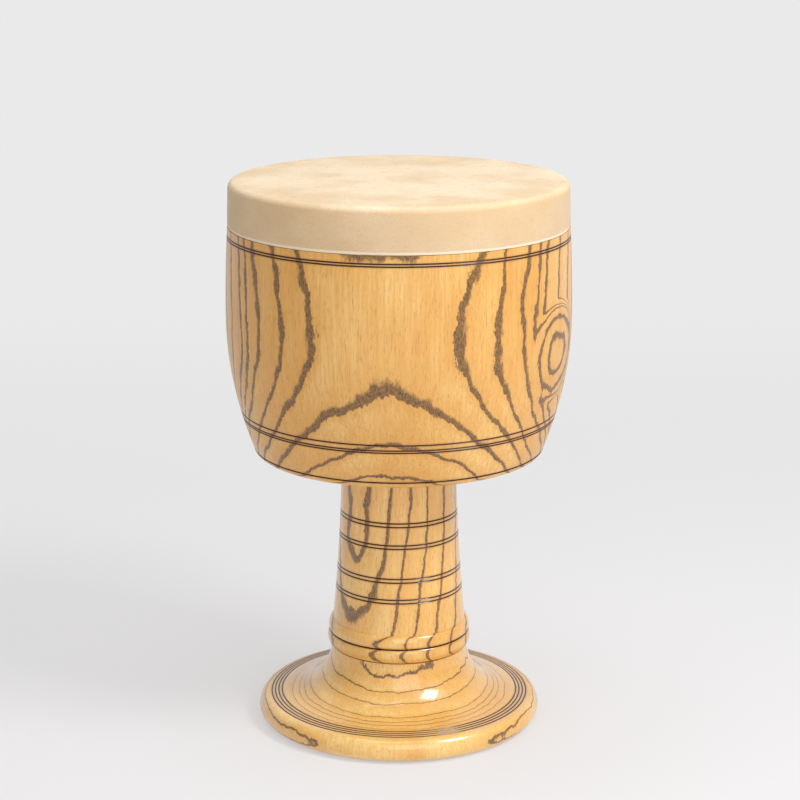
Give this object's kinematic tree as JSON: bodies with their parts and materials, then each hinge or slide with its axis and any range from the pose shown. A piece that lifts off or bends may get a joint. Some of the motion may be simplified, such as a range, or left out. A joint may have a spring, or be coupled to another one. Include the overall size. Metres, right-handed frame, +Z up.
{
  "type": "goblet drum",
  "caption": "Tombak goblet drum: hollow turned wooden bowl on a beaded stem and flared foot, with burnt lines, closed at the top by a glued skin head and open through the foot.",
  "frame": {"origin": "centre of the foot's flat base ring, on the floor", "axes": "+Z up the drum's axis to the playing face, -Y towards the side that the picture shows"},
  "size_m": [0.277, 0.277, 0.4487],
  "materials": {
    "skin": "matt scraped hide",
    "bowl_wood": "clear satin lacquer on ring-porous wood",
    "neck_wood": "clear gloss lacquer on ring-porous wood",
    "foot_wood": "clear gloss lacquer on ring-porous wood"
  },
  "bodies": {
    "root": {"skin_head": "skin", "bowl": "bowl_wood", "neck": "neck_wood", "foot": "foot_wood"}
  },
  "joints": []
}
